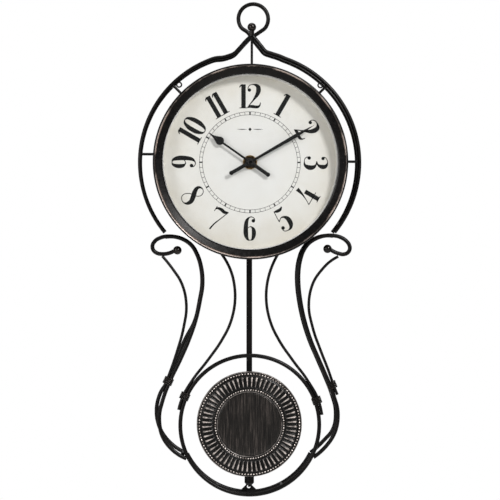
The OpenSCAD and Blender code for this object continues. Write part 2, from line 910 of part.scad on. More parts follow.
module hour_hand() {
    bulb = hour_reach * 0.73;
    color("#141312")
        difference() {
            hand(hour_angle, hour_y, hand_t) {
                circle(r = 3.9);
                polygon([
                    [-1.4, -knob_drop], [-0.8, 0], [-0.7, bulb], [-3.9, bulb + 1.4], [-1.3, bulb + 7.5],
                    [0, hour_reach], [1.3, bulb + 7.5], [3.9, bulb + 1.4], [0.7, bulb], [0.8, 0],
                    [1.4, -knob_drop]
                ]);
                translate([0, bulb]) circle(r = 4.3);
                translate([0, -knob_drop]) circle(r = 1.9);
            }
            post(0, hour_y - 1, dial_z, pipe_r, 4);
        }
}

// ---- Pendulum ----

// Flat coil that gives the lever's magnet its push
module drive_coil() {
    color("#b5622e")
        difference() {
            post(0, split_y - 5, magnet_z, 9, 5);
            post(0, split_y - 6, magnet_z, 2.5, 7);
        }
}

module pivot_pin() {
    color("#b8b4ac") {
        post(0, split_y - 1.2, pivot_z, pivot_r, 6.4);
        post(0, -11.8, pivot_z, 2.6, 0.8);
    }
}

lever_y = -14.6;
lever_t = 2.4;

module hanger_lever() {
    color("#d8d5cc")
        difference() {
            union() {
                post(0, lever_y, pivot_z, 5, lever_t);
                block(-3.5, 3.5, lever_y, lever_y + lever_t, peg_z - 1, pivot_z);
                post(0, lever_y, magnet_z, 6, lever_t);
                post(0, lever_y, peg_z - 1, 3.5, lever_t);
                post(0, lever_y + lever_t - slit, peg_z, peg_r, 3);
            }
            post(0, lever_y - 1, pivot_z, pivot_r + bearing_gap, 5);
            post(0, lever_y - 1, magnet_z, 4, 5);
        }
}

module lever_magnet() {
    color("#77797c") post(0, lever_y, magnet_z, 4, lever_t);
}

// Flat rod with an eye at the top and a screw thread at the bottom
module pendulum_rod() {
    strip_back = lever_back + strip_t;
    color("#1d1916")
        difference() {
            union() {
                block(-strip_w / 2, strip_w / 2, lever_back, strip_back, bob_z - 44, peg_z);
                post(0, lever_back, peg_z, strip_w / 2 + 0.6, strip_t);
                translate([0, lever_back + strip_t / 2, nut_top - nut_h - 2.4])
                    cylinder(r = thread_r, h = bob_z - 40 - nut_top + nut_h + 2.4);
            }
            post(0, lever_back - 1, peg_z, peg_r, 4);
        }
}

lever_back = -12.2 + slit;
thread_y = lever_back + strip_t / 2;

// Bob: a dished front and a flat back plate with a channel for the rod
module bob() {
    front = bob_y;
    color("#241f1c")
        difference() {
            translate([0, front, bob_z])
                rotate([-90, 0, 0])
                    rotate_extrude($fn = 180)
                        polygon([
                            [0, 3], [33, 3], [34.5, 1.6], [37.5, 1.6], [39, 3.4], [42, 1.2], [46, 1.2],
                            [49.5, 3.6], [52, 2.6], [54.5, 2.8], [bob_r, 4.2], [bob_r, 6.4],
                            [53, 7.4], [44, bob_t], [0, bob_t]
                        ]);
            block(-strip_w / 2 - 0.1, strip_w / 2 + 0.1, lever_back - 0.1, lever_back + strip_t + 0.1,
                bob_z - 48, bob_z + bob_r + 2);
            translate([0, thread_y, bob_z - bob_r - 2])
                cylinder(r = thread_r + 0.1, h = 24);
        }
}

module rating_nut() {
    color("#241f1c")
        translate([0, thread_y, nut_top - nut_h])
            difference() {
                union() {
                    translate([0, 0, 2])
                        cylinder(r = nut_d / 2, h = nut_h - 2);
                    cylinder(r1 = nut_d / 2 - 1.6, r2 = nut_d / 2, h = 2.01);
                }
                translate([0, 0, -1])
                    cylinder(r = thread_r + bearing_gap, h = nut_h + 2);
                for (a = [0 : 24 : 336]) {
                    rotate([0, 0, a])
                        translate([nut_d / 2 + 0.2, 0, 2.6])
                            cylinder(r = 0.5, h = nut_h - 3.6, $fn = 16);
                }
            }
}

// ---- What is drawn ----

// The hanging loop stands over the origin
module place() {
    translate([-loop_offset, 0, 0]) children();
}

place() back_hoop();
place() front_hoop(-1);  // front_hoop_left
place() front_hoop(1);  // front_hoop_right
place() frame_rod(scroll_left, rod_d, front_y);  // front_scroll_left
place() frame_rod(scroll_right, rod_d, front_y);  // front_scroll_right
place() frame_rod(outer_left, wire_d, front_y);  // outer_wire_left
place() frame_rod(outer_right, wire_d, front_y);  // outer_wire_right
place() frame_rod(inner_left, wire_d, front_y);  // inner_wire_left
place() frame_rod(inner_right, wire_d, front_y);  // inner_wire_right
place() lower_ring();
place() frame_rod(strand_left, rod_d, back_y);  // back_strand_left
place() frame_rod(strand_right, rod_d, back_y);  // back_strand_right
place() back_ring_arc();
place() ring_tab();
place() spacer_rods();
place() wire_wraps();
place() scroll_balls();
place() finial_ball();
place() top_pin();
place() side_pins();
place() upper_pins();
place() curled_eyes();
place() case_drum();
place() bezel();
place() glass();
place() dial_rim();
place() dial();
place() rear_cover();
place() cover_screws();
place() movement_case();
place() movement_cover();
place() gasket();
place() nut_washer();
place() hex_nut();
place() battery();
place() contact(1, 3, 1.6);  // contact_plus
place() contact(-1, 4, 2.4);  // contact_minus
place() circuit_board();
place() stepper_coil();
place() stator();
place() drive_coil();
place() pivot_pin();
place() rotor();
place() fifth_wheel();
place() second_wheel();
place() third_wheel();
place() centre_wheel();
place() motion_wheel();
place() setting_knob();
place() minute_arbor();
place() minute_hand();
place() hand_cap();
place() hour_wheel();
place() hour_hand();
place() hanger_lever();
place() lever_magnet();
place() pendulum_rod();
place() bob();
place() rating_nut();
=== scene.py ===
# %% [markdown]
# # A pendulum wall clock in bent dark rod
# The real object is a round dial case held in a frame of bent steel rod, with a light pendulum
# swinging behind the front rods. The metal frame and every moving piece come from the packed
# model, which fixes sizes and joints. Blender adds what the eye reads: the printed dial, the
# pressed pattern of the bob, and finishes with grain, wear and sheen.

# %% Load the fixed frame
import math

import bmesh
import bpy
from mathutils import Matrix, Vector


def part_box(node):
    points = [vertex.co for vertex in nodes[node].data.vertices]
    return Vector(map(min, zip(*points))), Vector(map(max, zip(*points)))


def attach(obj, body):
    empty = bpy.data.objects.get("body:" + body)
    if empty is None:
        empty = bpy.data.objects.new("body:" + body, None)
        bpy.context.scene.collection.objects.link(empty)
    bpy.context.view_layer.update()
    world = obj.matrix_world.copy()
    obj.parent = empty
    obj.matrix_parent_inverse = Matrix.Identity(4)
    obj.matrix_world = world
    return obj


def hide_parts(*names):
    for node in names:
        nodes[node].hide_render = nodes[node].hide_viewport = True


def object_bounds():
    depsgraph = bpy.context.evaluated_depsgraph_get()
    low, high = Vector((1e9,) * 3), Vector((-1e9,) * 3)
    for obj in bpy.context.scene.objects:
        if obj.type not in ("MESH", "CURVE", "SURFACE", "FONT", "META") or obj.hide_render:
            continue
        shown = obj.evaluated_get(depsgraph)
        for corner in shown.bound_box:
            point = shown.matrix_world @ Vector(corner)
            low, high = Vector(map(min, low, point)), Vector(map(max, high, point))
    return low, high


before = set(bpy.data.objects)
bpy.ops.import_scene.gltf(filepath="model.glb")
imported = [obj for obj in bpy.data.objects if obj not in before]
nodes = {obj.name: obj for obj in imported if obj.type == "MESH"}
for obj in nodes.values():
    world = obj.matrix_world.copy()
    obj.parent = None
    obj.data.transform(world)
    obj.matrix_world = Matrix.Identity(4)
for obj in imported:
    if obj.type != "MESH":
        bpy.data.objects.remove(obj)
cad_low, cad_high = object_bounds()
print("loaded", len(nodes), "pieces, box", [round(v * 1000, 1) for v in (*cad_low, *cad_high)])

# %% [markdown]
# ## Where things are
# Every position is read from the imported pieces: the middle of the dial is the middle of the
# bezel's box, and the middle of the bob is the middle of its own. Nothing is placed by eye, so
# each new piece lands exactly on the part that carries it.

# %% Landmarks
def middle(node):
    low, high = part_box(node)
    return (low + high) / 2


dial_mid = middle("bezel")
bob_mid = middle("bob")
dial_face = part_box("dial")[0].y
bezel_low, bezel_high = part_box("bezel")
bezel_r = (bezel_high.x - bezel_low.x) / 2
bob_low, bob_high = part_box("bob")
print("dial at", [round(v * 1000, 1) for v in dial_mid])
print("bob at", [round(v * 1000, 1) for v in bob_mid])

# %% [markdown]
# ## From mesh code to a piece
# Every new piece is written as a closed mesh first and becomes an object in one place. Pressed
# and domed pieces are shaded smooth; printed plates and stamped sheet keep their crisp edges.

# %% Making a piece
def made(name, mesh, smooth=False):
    """Turns a finished mesh into an object of the scene."""
    data = bpy.data.meshes.new(name)
    mesh.to_mesh(data)
    mesh.free()
    for face in data.polygons:
        face.use_smooth = smooth
    piece = bpy.data.objects.new(name, data)
    bpy.context.scene.collection.objects.link(piece)
    print(name, len(data.polygons), "faces")
    return piece


# %% [markdown]
# ## A helper for finishes
# Each finish starts from the same small kit of nodes: object coordinates, noises at chosen
# scales, colour ramps and a bump. Object coordinates are in metres here, so a noise scale of
# 400 gives grains of about 2.5 mm, and the pattern stays fixed to its piece when it moves.

# %% The finish kit
class Finish:
    """One material and short ways to add nodes to it."""

    def __init__(self, name, metallic=0.0, roughness=0.5):
        self.material = bpy.data.materials.new(name)
        self.material.use_nodes = True
        self.tree = self.material.node_tree
        self.shader = self.tree.nodes["Principled BSDF"]
        self.shader.inputs["Metallic"].default_value = metallic
        self.shader.inputs["Roughness"].default_value = roughness
        self.place = self.add("ShaderNodeTexCoord").outputs["Object"]

    def add(self, kind, **settings):
        node = self.tree.nodes.new(kind)
        for key, value in settings.items():
            setattr(node, key, value)
        return node

    def link(self, out, into):
        self.tree.links.new(out, into)

    def stretched(self, scale):
        mapping = self.add("ShaderNodeMapping")
        mapping.inputs["Scale"].default_value = scale
        self.link(self.place, mapping.inputs["Vector"])
        return mapping.outputs["Vector"]

    def noise(self, scale, detail=4.0, rough=0.55, where=None):
        noise = self.add("ShaderNodeTexNoise")
        noise.inputs["Scale"].default_value = scale
        noise.inputs["Detail"].default_value = detail
        noise.inputs["Roughness"].default_value = rough
        self.link(where or self.place, noise.inputs["Vector"])
        return noise.outputs["Fac"]

    def ramp(self, fac, stops):
        """Colours at places along a value from nought to one."""
        ramp = self.add("ShaderNodeValToRGB")
        ends = ramp.color_ramp.elements
        while len(ends) < len(stops):
            ends.new(0.5)
        for end, (at, colour) in zip(ends, stops):
            end.position = at
            end.color = (*colour, 1.0)
        self.link(fac, ramp.inputs["Fac"])
        return ramp.outputs["Color"]

    def span(self, fac, low, high, from_low=0.3, from_high=0.7):
        """Stretches one range of a value over another, and holds it at the ends."""
        span = self.add("ShaderNodeMapRange")
        span.inputs["From Min"].default_value = from_low
        span.inputs["From Max"].default_value = from_high
        span.inputs["To Min"].default_value = low
        span.inputs["To Max"].default_value = high
        self.link(fac, span.inputs["Value"])
        return span.outputs["Result"]

    def mix(self, fac, a, b):
        """Colour a where the factor is nought, colour b where it is one."""
        mix = self.add("ShaderNodeMix", data_type="RGBA")
        if isinstance(fac, float):
            mix.inputs["Factor"].default_value = fac
        else:
            self.link(fac, mix.inputs["Factor"])
        for socket, value in ((mix.inputs["A"], a), (mix.inputs["B"], b)):
            if isinstance(value, tuple):
                socket.default_value = (*value, 1.0)
            else:
                self.link(value, socket)
        return mix.outputs["Result"]

    def sum(self, operation, a, b=0.0):
        """One step of arithmetic on sockets or numbers."""
        step = self.add("ShaderNodeMath", operation=operation)
        for socket, value in zip(step.inputs, (a, b)):
            if isinstance(value, (int, float)):
                socket.default_value = value
            else:
                self.link(value, socket)
        return step.outputs["Value"]

    def polar(self, centre):
        """Distance and angle round an axis along Y through the centre."""
        shift = self.add("ShaderNodeVectorMath", operation="SUBTRACT")
        shift.inputs[1].default_value = centre
        self.link(self.place, shift.inputs[0])
        parts = self.add("ShaderNodeSeparateXYZ")
        self.link(shift.outputs["Vector"], parts.inputs["Vector"])
        x, z = parts.outputs["X"], parts.outputs["Z"]
        square = self.sum("ADD", self.sum("MULTIPLY", x, x), self.sum("MULTIPLY", z, z))
        return self.sum("SQRT", square), self.sum("ARCTAN2", z, x)

    def band(self, value, centre, half, soft):
        """One inside the band, falling to nought over the soft edge."""
        away = self.sum("ABSOLUTE", self.sum("SUBTRACT", value, centre))
        return self.span(away, 1.0, 0.0, half, half + soft)

    def colour(self, out):
        self.link(out, self.shader.inputs["Base Color"])

    def rough(self, fac, low, high):
        self.link(self.span(fac, low, high), self.shader.inputs["Roughness"])

    def gloss(self, level):
        self.shader.inputs["Specular IOR Level"].default_value = level

    def bump(self, height, distance, strength=1.0):
        bump = self.add("ShaderNodeBump")
        bump.inputs["Distance"].default_value = distance
        bump.inputs["Strength"].default_value = strength
        self.link(height, bump.inputs["Height"])
        self.link(bump.outputs["Normal"], self.shader.inputs["Normal"])


def dress(finish, *names):
    """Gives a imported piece, or a new one, a finish."""
    for name in names:
        data = bpy.data.objects[name].data
        data.materials.clear()
        data.materials.append(finish.material)
    print(finish.material.name, "on", len(names), "pieces")


# %% [markdown]
# ## The frame's finish: oil-rubbed bronze
# The rod is steel with a powder coat, nearly black, that is rubbed by hand so that a little
# warm brown shows on the high places. A flat black would look like plastic. Here a slow noise
# moves the colour between black and brown, a fine one gives the grain of the coat, and rare
# small patches show copper.

# %% Oil-rubbed bronze
def bronze_finish(name, dark, warm, rub, rub_from, roughness, grain):
    finish = Finish(name, metallic=0.3)
    finish.gloss(0.24)
    slow = finish.noise(55.0, 5.0)
    base = finish.ramp(slow, [(0.35, dark), (0.7, warm)])
    patches = finish.noise(420.0, 6.0, 0.65)
    wear_and_sheen = finish.span(patches, 0.0, 1.0, rub_from, rub_from + 0.12)
    finish.colour(finish.mix(wear_and_sheen, base, rub))
    finish.rough(finish.noise(260.0, 3.0), *roughness)
    finish.bump(finish.noise(1500.0, 4.0, 0.6), grain, 0.5)
    return finish


coat_dark = (0.0015, 0.0013, 0.0012)
coat_warm = (0.006, 0.0045, 0.004)
bronze = bronze_finish("bronze_coat", coat_dark, coat_warm, (0.035, 0.02, 0.013), 0.63, (0.26, 0.4),
                       0.00004)
coated = ["back_hoop", "front_hoop_left", "front_hoop_right", "front_scroll_left", "front_scroll_right",
          "outer_wire_left", "outer_wire_right", "inner_wire_left", "inner_wire_right", "lower_ring",
          "back_strand_left", "back_strand_right", "back_ring_arc", "ring_tab", "spacer_rods",
          "top_pin", "side_pins", "upper_pins", "curled_eyes", "case_drum", "rear_cover",
          "pendulum_rod", "rating_nut"]
dress(bronze, *coated)
polished = bronze_finish("bronze_polished", (0.004, 0.0032, 0.0028), (0.014, 0.01, 0.008),
                         (0.1, 0.065, 0.045), 0.6, (0.1, 0.2), 0.00002)
polished.shader.inputs["Metallic"].default_value = 0.6
polished.gloss(0.6)
dress(polished, "scroll_balls", "finial_ball", "wire_wraps")

# %% [markdown]
# ## The bezel's painted highlight
# The bezel has the same coat, with a thin pale line painted just inside its outer edge as a
# highlight where its rounded rim catches the key light. The distance from the dial's axis marks
# the line, and noise breaks it up so that it comes and goes round the ring. The cap on the hands' hub has
# such a painted highlight ring too.

# %% Bezel and hub
def sheen_ring_finish(name, ring_r, half, soft, sheen_colour, metallic, roughness):
    """The dark coat with one painted highlight ring round the dial's axis."""
    finish = Finish(name, metallic=metallic)
    finish.gloss(0.35)
    away, _ = finish.polar(tuple(dial_mid))
    broken = finish.span(finish.noise(38.0, 3.0), 0.12, 1.0, 0.42, 0.56)
    # Painted highlight: a pale ring over the dark coat, standing for light caught on the rim.
    wear_and_sheen = finish.sum("MULTIPLY", finish.band(away, ring_r, half, soft), broken)
    base = finish.ramp(finish.noise(240.0, 5.0), [(0.35, coat_dark), (0.72, coat_warm)])
    finish.colour(finish.mix(wear_and_sheen, base, sheen_colour))
    finish.rough(finish.noise(300.0, 3.0), *roughness)
    finish.bump(finish.noise(1500.0, 4.0, 0.6), 0.00003, 0.5)
    return finish


sheen_in = 0.0024
cap_sheen_r = 0.0022
# Pale colours of the painted highlight ring on the bezel and on the hands' cap below.
bezel_bronze = sheen_ring_finish("bezel_bronze", bezel_r - sheen_in, 0.00045, 0.0004, (0.55, 0.46, 0.41), 0.45,
                             (0.2, 0.32))
cap_black = sheen_ring_finish("cap_black", cap_sheen_r, 0.0003, 0.0002, (0.45, 0.42, 0.4), 0.6, (0.2, 0.3))
dress(bezel_bronze, "bezel")
dress(cap_black, "hand_cap")

# %% [markdown]
# ## Plain finishes for the movement
# Behind the dial sits a small battery movement: a moulded case, brass wheels, steel arbors,
# copper coils and a cell. Each is a different stuff, so each gets its own grain: a fine spark
# texture on mouldings, clouds of tarnish on brass, long streaks on steel and on the windings.

# %% Movement finishes
def plain_finish(name, low, high, metallic, roughness, scale=300.0, grain=0.00003, fine=2500.0):
    finish = Finish(name, metallic=metallic)
    finish.colour(finish.ramp(finish.noise(scale, 5.0), [(0.35, low), (0.68, high)]))
    finish.rough(finish.noise(scale * 1.7, 3.0), *roughness)
    finish.bump(finish.noise(fine, 3.0), grain, 0.6)
    return finish


def streaked_finish(name, low, high, metallic, roughness, stretch, grain=0.00002):
    finish = Finish(name, metallic=metallic)
    streaks = finish.noise(1.0, 4.0, 0.6, finish.stretched(stretch))
    finish.colour(finish.ramp(streaks, [(0.3, low), (0.7, high)]))
    finish.rough(streaks, *roughness)
    finish.bump(streaks, grain, 0.6)
    return finish


moulding = plain_finish("black_moulding", (0.011, 0.011, 0.012), (0.02, 0.02, 0.021), 0.0,
                        (0.42, 0.56))
rubber = plain_finish("rubber", (0.012, 0.012, 0.012), (0.022, 0.021, 0.02), 0.0, (0.7, 0.85))
brass = plain_finish("brass", (0.36, 0.22, 0.07), (0.58, 0.38, 0.14), 1.0, (0.2, 0.36), 500.0)
steel = streaked_finish("steel", (0.42, 0.41, 0.4), (0.6, 0.59, 0.57), 1.0, (0.22, 0.38),
                        (900, 120, 900))
iron = streaked_finish("iron", (0.17, 0.17, 0.18), (0.3, 0.3, 0.31), 1.0, (0.35, 0.5),
                       (200, 900, 200))
enamel_wire = streaked_finish("enamelled_copper", (0.35, 0.09, 0.03), (0.62, 0.2, 0.07), 0.8,
                              (0.2, 0.35), (2600, 900, 60))
board = plain_finish("circuit_lacquer", (0.012, 0.07, 0.03), (0.025, 0.13, 0.05), 0.0, (0.2, 0.35), 900.0)
white_moulding = plain_finish("white_moulding", (0.6, 0.58, 0.53), (0.72, 0.7, 0.65), 0.0,
                              (0.4, 0.55))
sleeve = streaked_finish("cell_sleeve", (0.015, 0.09, 0.045), (0.03, 0.15, 0.08), 0.3, (0.22, 0.34),
                         (30, 500, 500))
hand_black = plain_finish("hand_black", (0.002, 0.002, 0.002), (0.005, 0.0048, 0.0045), 0.0,
                          (0.4, 0.55), 420.0)
hand_black.gloss(0.25)
dress(moulding, "movement_case", "movement_cover")
dress(rubber, "gasket")
dress(brass, "nut_washer", "fifth_wheel", "second_wheel", "third_wheel", "centre_wheel",
      "motion_wheel", "hour_wheel")
dress(steel, "cover_screws", "contact_plus", "contact_minus", "pivot_pin", "minute_arbor")
dress(iron, "stator", "rotor", "lever_magnet")
dress(enamel_wire, "stepper_coil", "drive_coil")
dress(board, "circuit_board")
dress(white_moulding, "setting_knob", "hanger_lever")
dress(sleeve, "battery")

# %% [markdown]
# ## The hex nut
# The nut that clamps the movement is brass darkened by lacquer and age. It keeps its packed
# shape and gets a browner brass, with darker patches from noise.

# %% Aged brass
aged_brass = plain_finish("aged_brass", (0.014, 0.009, 0.006), (0.115, 0.075, 0.042), 1.0,
                          (0.22, 0.4), 700.0)
dress(aged_brass, "hex_nut")

# %% [markdown]
# ## Glass
# The lens is a flat pane. What shows of clean glass is only its gloss, so the finish is almost
# clear, with a faint unevenness in the gloss as if wiped by hand.

# %% Clear glass
glass = Finish("clear_glass", roughness=0.03)
glass.shader.inputs["Base Color"].default_value = (0.02, 0.025, 0.025, 1.0)
glass.shader.inputs["Alpha"].default_value = 0.05
glass.gloss(0.3)
glass.rough(glass.noise(30.0, 2.0), 0.015, 0.05)
glass.material.surface_render_method = "BLENDED"
dress(glass, "glass")

# %% [markdown]
# ## Dial paper
# The dial is printed to look like old paper: pale and cool in the middle, with faint yellow
# clouds towards the rim. The distance from the dial's centre drives the change, and noise
# breaks it up so that no ring shows.

# %% Aged paper
paper = Finish("aged_paper", roughness=0.55)
reach, _ = paper.polar((dial_mid.x, dial_face, dial_mid.z))
clouds = paper.noise(26.0, 5.0, 0.6)
spread = paper.sum("ADD", paper.sum("MULTIPLY", clouds, 0.06), reach)
aged = paper.ramp(paper.span(spread, 0.0, 1.0, 0.06, 0.13),
                  [(0.0, (0.79, 0.79, 0.765)), (0.5, (0.775, 0.765, 0.72)), (1.0, (0.66, 0.62, 0.53))])
stains = paper.ramp(paper.noise(75.0, 6.0, 0.62),
                    [(0.45, (0.8, 0.795, 0.765)), (0.75, (0.7, 0.67, 0.6))])
paper.colour(paper.mix(0.25, aged, stains))
paper.bump(paper.noise(1800.0, 4.0), 0.00002, 0.5)
rim_white = plain_finish("rim_white", (0.7, 0.69, 0.66), (0.78, 0.77, 0.74), 0.0, (0.45, 0.6),
                         160.0)
dress(paper, "dial")
dress(rim_white, "dial_rim")

# %% [markdown]
# ## Printing ink
# The numerals are printed in black, slightly greyed where the ink is thin.

# %% Ink
ink = Finish("printing_ink", roughness=0.6)
ink.gloss(0.2)
ink.colour(ink.ramp(ink.noise(900.0, 5.0, 0.7),
                    [(0.45, (0.003, 0.003, 0.003)), (0.85, (0.014, 0.0135, 0.013))]))
ink.bump(ink.noise(2400.0, 3.0), 0.00001, 0.4)

# %% [markdown]
# ## A pen for the numerals
# The numerals are of the old high-contrast kind: heavy uprights, hairline curves and round
# drops at the ends. A pen stroke that changes width along a smooth path draws such shapes
# better than a stock font. Each stroke becomes a thin closed plate lying on the dial.

# %% The pen
def smooth_path(points, steps=9):
    """A smooth curve through places given as x, z and the pen's width."""
    out = []
    for i in range(len(points) - 1):
        p0 = points[max(i - 1, 0)]
        p1, p2 = points[i], points[i + 1]
        p3 = points[min(i + 2, len(points) - 1)]
        for k in range(steps):
            t = k / steps
            out.append(tuple(0.5 * (2 * b + (c - a) * t + (2 * a - 5 * b + 4 * c - d) * t * t
                                    + (3 * b - a - 3 * c + d) * t ** 3)
                             for a, b, c, d in zip(p0, p1, p2, p3)))
    out.append(tuple(points[-1]))
    return out


class Print:
    """Collects plates of ink on the dial's face."""

    def __init__(self, name, lift=0.00006):
        self.name, self.mesh, self.lift = name, bmesh.new(), lift

    def plate(self, left, right, put):
        """Closes a strip between two rows of flat points."""
        rows = []
        for y in (0.0, self.lift):
            rows.append([[self.mesh.verts.new(put(x, z, y)) for x, z in row] for row in (left, right)])
        (low_l, low_r), (top_l, top_r) = rows
        face = self.mesh.faces.new
        for i in range(len(left) - 1):
            face((top_l[i], top_l[i + 1], top_r[i + 1], top_r[i]))
            face((low_l[i], low_r[i], low_r[i + 1], low_l[i + 1]))
            face((low_l[i], low_l[i + 1], top_l[i + 1], top_l[i]))
            face((low_r[i], top_r[i], top_r[i + 1], low_r[i + 1]))
        face((low_l[0], top_l[0], top_r[0], low_r[0]))
        face((low_l[-1], low_r[-1], top_r[-1], top_l[-1]))

    def stroke(self, points, put, least=0.012, bold=1.12):
        """A pen stroke; no part of it is thinner than the least width."""
        path = smooth_path(points)
        left, right = [], []
        for i, (x, z, w) in enumerate(path):
            a, b = path[max(i - 1, 0)], path[min(i + 1, len(path) - 1)]
            dx, dz = b[0] - a[0], b[1] - a[1]
            n = math.hypot(dx, dz) or 1.0
            w = max(w * bold, least)
            left.append((x - dz / n * w / 2, z + dx / n * w / 2))
            right.append((x + dz / n * w / 2, z - dx / n * w / 2))
        self.plate(left, right, put)

    def drop(self, x, z, r, put, steps=10):
        """A round drop, as a strip between its two half rims."""
        half = [math.pi * i / steps for i in range(steps + 1)]
        left = [(x + r * math.cos(a), z + max(r * math.sin(a), 0.0005)) for a in half]
        right = [(x + r * math.cos(a), z - max(r * math.sin(a), 0.0005)) for a in half]
        self.plate(left, right, put)

    def done(self):
        """The print is a piece that stays with the frame."""
        bmesh.ops.recalc_face_normals(self.mesh, faces=self.mesh.faces)
        piece = made(self.name, self.mesh)
        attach(piece, "frame")
        dress(ink, self.name)


# %% [markdown]
# ## The shapes of the digits
# Each digit is one unit tall, standing on zero and centred on its own middle line. A stroke is
# a list of places with the pen's width at each; a drop is a place with a radius. Six turned
# upside down gives nine.

# %% Digit strokes
hair = 0.028
one = {"strokes": [[(0, 0.01, 0.165), (0, 0.99, 0.165)], [(-0.17, 0.012, hair), (0.17, 0.012, hair)],
                   [(-0.02, 0.985, hair), (-0.1, 0.95, 0.05), (-0.17, 0.86, hair)]], "drops": []}
two = {"strokes": [[(-0.2, 0.72, hair), (-0.245, 0.82, hair), (-0.17, 0.95, 0.03), (-0.01, 0.985, 0.045),
                    (0.15, 0.92, 0.14), (0.195, 0.77, 0.175), (0.14, 0.57, 0.14), (-0.02, 0.34, 0.06),
                    (-0.17, 0.15, 0.035), (-0.26, 0.02, hair)],
                   [(-0.26, 0.03, 0.04), (-0.13, 0.075, 0.11), (0.05, 0.055, 0.11), (0.17, 0.06, 0.1),
                    (0.25, 0.13, 0.05), (0.275, 0.24, hair)]], "drops": [(-0.185, 0.755, 0.072)]}
three = {"strokes": [[(-0.17, 0.78, hair), (-0.22, 0.86, hair), (-0.1, 0.965, 0.03), (0.03, 0.98, 0.045),
                      (0.165, 0.89, 0.14), (0.18, 0.74, 0.155), (0.1, 0.585, 0.07), (-0.05, 0.53, hair)],
                     [(-0.05, 0.53, hair), (0.1, 0.495, 0.06), (0.2, 0.38, 0.15), (0.205, 0.2, 0.17),
                      (0.12, 0.05, 0.1), (-0.02, 0.012, 0.035), (-0.17, 0.05, hair), (-0.235, 0.17, hair),
                      (-0.19, 0.24, hair)]],
         "drops": [(-0.165, 0.795, 0.07), (-0.185, 0.215, 0.072)]}
four = {"strokes": [[(0.1, 0.01, 0.16), (0.1, 0.66, 0.16)], [(0.02, 0.99, 0.15), (-0.06, 0.7, 0.07),
                    (-0.19, 0.42, hair), (-0.3, 0.25, hair)],
                    [(-0.3, 0.25, hair), (0.29, 0.25, hair)], [(-0.05, 0.012, hair), (0.25, 0.012, hair)]],
        "drops": []}
five = {"strokes": [[(-0.17, 0.97, hair), (-0.05, 0.925, 0.11), (0.1, 0.92, 0.11), (0.22, 1.0, hair)],
                    [(-0.165, 0.97, hair), (-0.175, 0.75, hair), (-0.18, 0.49, hair)],
                    [(-0.18, 0.49, hair), (-0.05, 0.6, 0.035), (0.09, 0.575, 0.08), (0.195, 0.43, 0.16),
                     (0.2, 0.21, 0.17), (0.11, 0.05, 0.1), (-0.04, 0.012, 0.035), (-0.18, 0.06, hair),
                     (-0.225, 0.17, hair)]], "drops": [(-0.17, 0.2, 0.075)]}
six = {"strokes": [[(0.16, 0.8, hair), (0.19, 0.89, hair), (0.09, 0.975, 0.03), (-0.03, 0.955, 0.05),
                    (-0.135, 0.81, 0.13), (-0.175, 0.52, 0.165), (-0.165, 0.25, 0.165),
                    (-0.1, 0.06, 0.09), (0.0, 0.014, 0.03), (0.1, 0.06, 0.09), (0.16, 0.24, 0.15),
                    (0.15, 0.43, 0.14), (0.08, 0.55, 0.06), (-0.01, 0.57, hair), (-0.1, 0.5, hair),
                    (-0.15, 0.38, hair)]], "drops": [(0.14, 0.82, 0.075)]}
seven = {"strokes": [[(-0.27, 0.84, hair), (-0.2, 0.93, 0.08), (-0.05, 0.95, 0.12), (0.1, 0.92, 0.12),
                      (0.22, 0.95, 0.09), (0.27, 1.0, hair)], [(-0.27, 0.76, hair), (-0.265, 0.99, hair)],
                     [(0.265, 0.985, hair), (0.12, 0.62, 0.035), (-0.01, 0.3, 0.05), (-0.07, 0.01, 0.06)]],
         "drops": []}
eight = {"strokes": [[(-0.02, 0.53, hair), (0.12, 0.64, hair), (0.18, 0.8, hair), (0.1, 0.95, hair),
                      (-0.03, 0.985, 0.035), (-0.14, 0.92, 0.08), (-0.165, 0.79, 0.13),
                      (-0.07, 0.63, 0.17), (0.07, 0.48, 0.18), (0.18, 0.32, 0.16), (0.185, 0.16, 0.12),
                      (0.11, 0.045, 0.05), (-0.02, 0.012, hair), (-0.16, 0.06, hair),
                      (-0.22, 0.21, hair), (-0.15, 0.4, hair), (-0.02, 0.53, hair)]], "drops": []}
nought = {"strokes": [[(0.0, 0.985, hair), (-0.12, 0.9, 0.09), (-0.185, 0.68, 0.155), (-0.195, 0.5, 0.165),
                       (-0.185, 0.32, 0.155), (-0.12, 0.1, 0.09), (0.0, 0.015, hair), (0.12, 0.1, 0.09),
                       (0.185, 0.32, 0.155), (0.195, 0.5, 0.165), (0.185, 0.68, 0.155),
                       (0.12, 0.9, 0.09), (0.0, 0.985, hair)]], "drops": []}
nine = {"strokes": [[(-x, 1 - z, w) for x, z, w in stroke] for stroke in six["strokes"]],
        "drops": [(-x, 1 - z, r) for x, z, r in six["drops"]]}
hours = {12: [(one, -0.27), (two, 0.16)], 1: [(one, 0)], 2: [(two, 0)], 3: [(three, 0)],
         4: [(four, 0)], 5: [(five, 0)], 6: [(six, 0)], 7: [(seven, 0)], 8: [(eight, 0)],
         9: [(nine, 0)], 10: [(one, -0.28), (nought, 0.17)], 11: [(one, -0.16), (one, 0.16)]}
print("digits ready for", len(hours), "hours")

# %% [markdown]
# ## Setting the numerals round the dial
# From nine round to three the tops point outwards; from four to eight they point inwards, so
# that nobody has to read them upside down.

